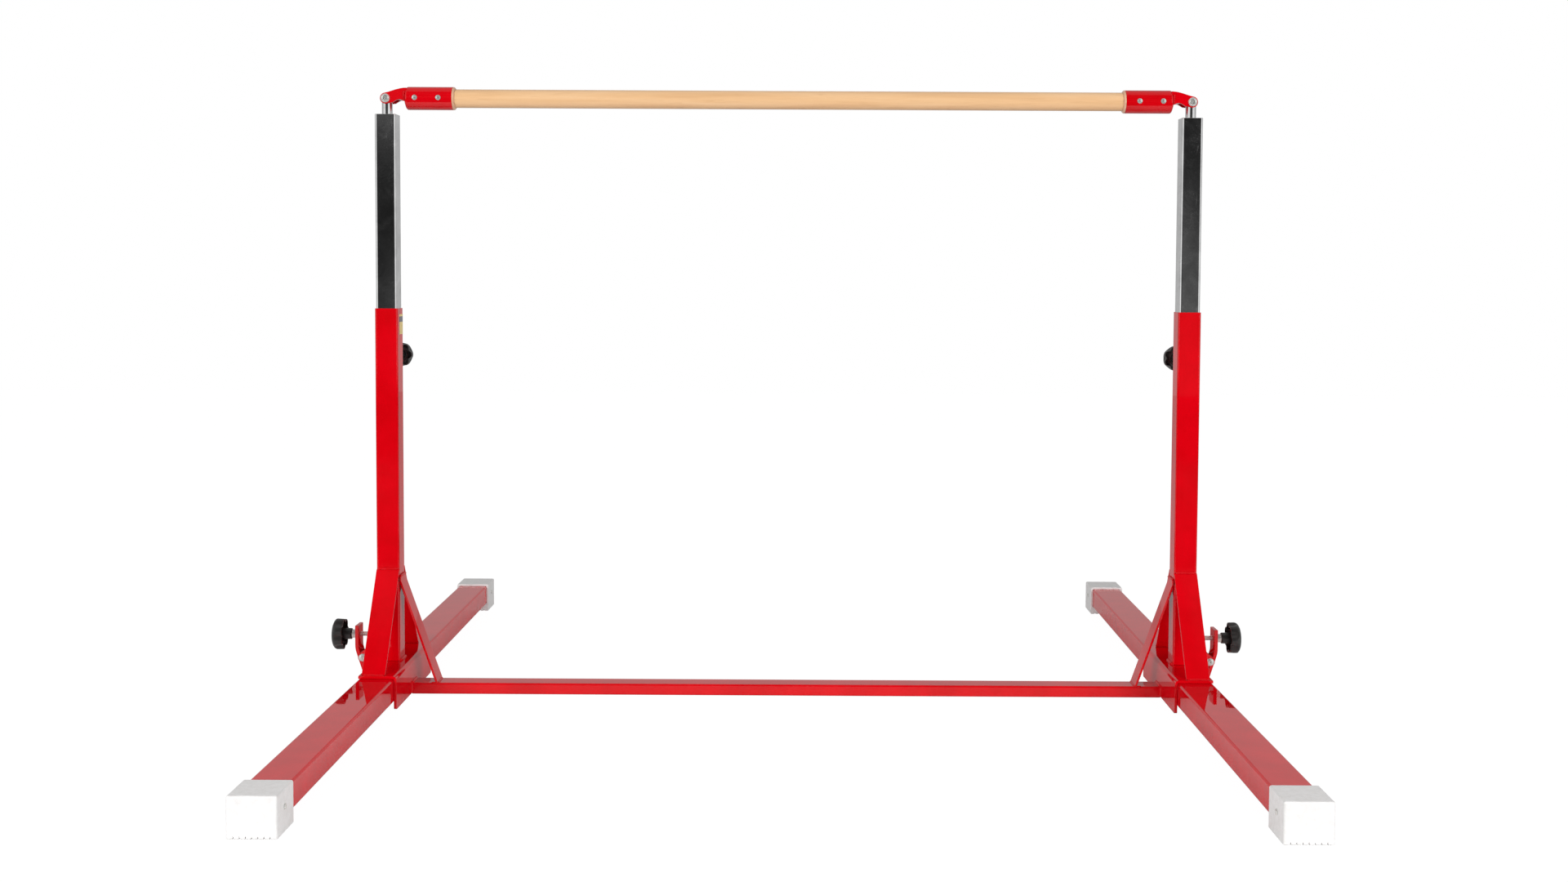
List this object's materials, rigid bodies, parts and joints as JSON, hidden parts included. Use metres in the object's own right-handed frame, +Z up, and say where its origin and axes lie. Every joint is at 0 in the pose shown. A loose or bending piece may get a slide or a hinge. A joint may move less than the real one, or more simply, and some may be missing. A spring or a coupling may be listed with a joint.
{
  "type": "height-adjustable gymnastics training bar",
  "caption": "Floor-standing gymnastics bar: a round wooden rail between two telescopic posts on long feet, with screw clamps for height and feet.",
  "frame": {"origin": "on the floor, midway between the two posts and midway along the feet", "axes": "+X along the rail towards the right post, +Y along the feet towards the rear where the height screws are, +Z up"},
  "size_m": [2.005, 1.96, 1.332],
  "materials": {
    "red_paint": "gloss red paint on steel",
    "chrome": "chrome-plated steel",
    "zinc_steel": "bright zinc-plated steel",
    "black_plastic": "satin black moulded plastic",
    "white_plastic": "satin white moulded plastic",
    "beech": "lacquered beech"
  },
  "bodies": {
    "frame": {"cross_beam": "red_paint", "left_saddle": "red_paint", "left_outer_post": "red_paint", "left_front_brace": "red_paint", "left_rear_brace": "red_paint", "left_side_brace": "red_paint", "left_clamp_bracket": "red_paint", "left_clamp_pivot_screw": "zinc_steel", "left_clamp_pivot_nut": "zinc_steel", "left_height_weld_nut": "zinc_steel", "right_saddle": "red_paint", "right_outer_post": "red_paint", "right_front_brace": "red_paint", "right_rear_brace": "red_paint", "right_side_brace": "red_paint", "right_clamp_bracket": "red_paint", "right_clamp_pivot_screw": "zinc_steel", "right_clamp_pivot_nut": "zinc_steel", "right_height_weld_nut": "zinc_steel"},
    "left_foot": {"left_foot_tube": "red_paint", "left_front_foot_cap": "white_plastic", "left_rear_foot_cap": "white_plastic", "left_front_cap_screw": "zinc_steel", "left_rear_cap_screw": "zinc_steel"},
    "left_clamp_lever": {"left_clamp_lever": "red_paint"},
    "left_clamp_spindle": {"left_clamp_spindle": "zinc_steel"},
    "left_clamp_knob": {"left_clamp_knob": "black_plastic", "left_clamp_lock_nut": "zinc_steel"},
    "left_height_spindle": {"left_height_spindle": "zinc_steel"},
    "left_height_knob": {"left_height_knob": "black_plastic", "left_height_lock_nut": "zinc_steel"},
    "left_inner_post": {"left_inner_post": "chrome", "left_post_stub": "chrome"},
    "right_foot": {"right_foot_tube": "red_paint", "right_front_foot_cap": "white_plastic", "right_rear_foot_cap": "white_plastic", "right_front_cap_screw": "zinc_steel", "right_rear_cap_screw": "zinc_steel"},
    "right_clamp_lever": {"right_clamp_lever": "red_paint"},
    "right_clamp_spindle": {"right_clamp_spindle": "zinc_steel"},
    "right_clamp_knob": {"right_clamp_knob": "black_plastic", "right_clamp_lock_nut": "zinc_steel"},
    "right_height_spindle": {"right_height_spindle": "zinc_steel"},
    "right_height_knob": {"right_height_knob": "black_plastic", "right_height_lock_nut": "zinc_steel"},
    "right_inner_post": {"right_inner_post": "chrome", "right_post_stub": "chrome"},
    "rail": {"wooden_rail": "beech", "left_bar_socket": "red_paint", "left_outer_rail_screw": "zinc_steel", "left_inner_rail_screw": "zinc_steel", "left_fork_bolt": "zinc_steel", "left_fork_nut": "zinc_steel", "right_bar_socket": "red_paint", "right_outer_rail_screw": "zinc_steel", "right_inner_rail_screw": "zinc_steel", "right_fork_bolt": "zinc_steel", "right_fork_nut": "zinc_steel"}
  },
  "joints": [
    {"name": "left_height_slide", "type": "slide", "parent": "frame", "child": "left_inner_post", "axis": [0, 0, 1], "range_m": [-0.35, 0.15]},
    {"name": "bar_tilt", "type": "hinge", "parent": "left_inner_post", "child": "rail", "pos_m": [-0.875, 0, 1.306], "axis": [0, -1, 0], "range_deg": [-1.6, 1.6]},
    {"name": "right_height_slide", "type": "slide", "parent": "left_inner_post", "child": "right_inner_post", "axis": [0, 0, 1], "range_m": [-0.049, 0.049]},
    {"name": "left_foot_slide", "type": "slide", "parent": "frame", "child": "left_foot", "axis": [0, 1, 0], "range_m": [-0.3, 0.3]},
    {"name": "left_lever_swing", "type": "hinge", "parent": "frame", "child": "left_clamp_lever", "pos_m": [-0.932, 0, 0.082], "axis": [0, 1, 0], "range_deg": [0, 9.73]},
    {"name": "left_clamp_travel", "type": "slide", "parent": "left_clamp_lever", "child": "left_clamp_spindle", "axis": [-1, 0, 0], "range_m": [0, 0.0091]},
    {"name": "left_clamp_turn", "type": "hinge", "parent": "left_clamp_spindle", "child": "left_clamp_knob", "pos_m": [-0.961, 0, 0.1295], "axis": [-1, 0, 0], "range_deg": [0, 2160]},
    {"name": "left_lock_travel", "type": "slide", "parent": "frame", "child": "left_height_spindle", "axis": [0, 1, 0], "range_m": [0, 0.0046]},
    {"name": "left_lock_turn", "type": "hinge", "parent": "left_height_spindle", "child": "left_height_knob", "pos_m": [-0.875, 0.086, 0.743], "axis": [0, 1, 0], "range_deg": [0, 1080]},
    {"name": "right_foot_slide", "type": "slide", "parent": "frame", "child": "right_foot", "axis": [0, 1, 0], "range_m": [-0.3, 0.3]},
    {"name": "right_lever_swing", "type": "hinge", "parent": "frame", "child": "right_clamp_lever", "pos_m": [0.932, 0, 0.082], "axis": [0, -1, 0], "range_deg": [0, 9.73]},
    {"name": "right_clamp_travel", "type": "slide", "parent": "right_clamp_lever", "child": "right_clamp_spindle", "axis": [1, 0, 0], "range_m": [0, 0.0091]},
    {"name": "right_clamp_turn", "type": "hinge", "parent": "right_clamp_spindle", "child": "right_clamp_knob", "pos_m": [0.961, 0, 0.1295], "axis": [1, 0, 0], "range_deg": [0, 2160]},
    {"name": "right_lock_travel", "type": "slide", "parent": "frame", "child": "right_height_spindle", "axis": [0, 1, 0], "range_m": [0, 0.0046]},
    {"name": "right_lock_turn", "type": "hinge", "parent": "right_height_spindle", "child": "right_height_knob", "pos_m": [0.875, 0.086, 0.743], "axis": [0, 1, 0], "range_deg": [0, 1080]}
  ],
  "couplings": [
    {"joint": "right_height_slide", "follows": "bar_tilt", "m_per_rad": 1.75},
    {"joint": "left_lever_swing", "follows": "left_clamp_turn", "ratio": 0.0045},
    {"joint": "left_clamp_travel", "follows": "left_clamp_turn", "m_per_rad": 0.00023873},
    {"joint": "left_lock_travel", "follows": "left_lock_turn", "m_per_rad": 0.00023873},
    {"joint": "right_lever_swing", "follows": "right_clamp_turn", "ratio": 0.0045},
    {"joint": "right_clamp_travel", "follows": "right_clamp_turn", "m_per_rad": 0.00023873},
    {"joint": "right_lock_travel", "follows": "right_lock_turn", "m_per_rad": 0.00023873}
  ]
}
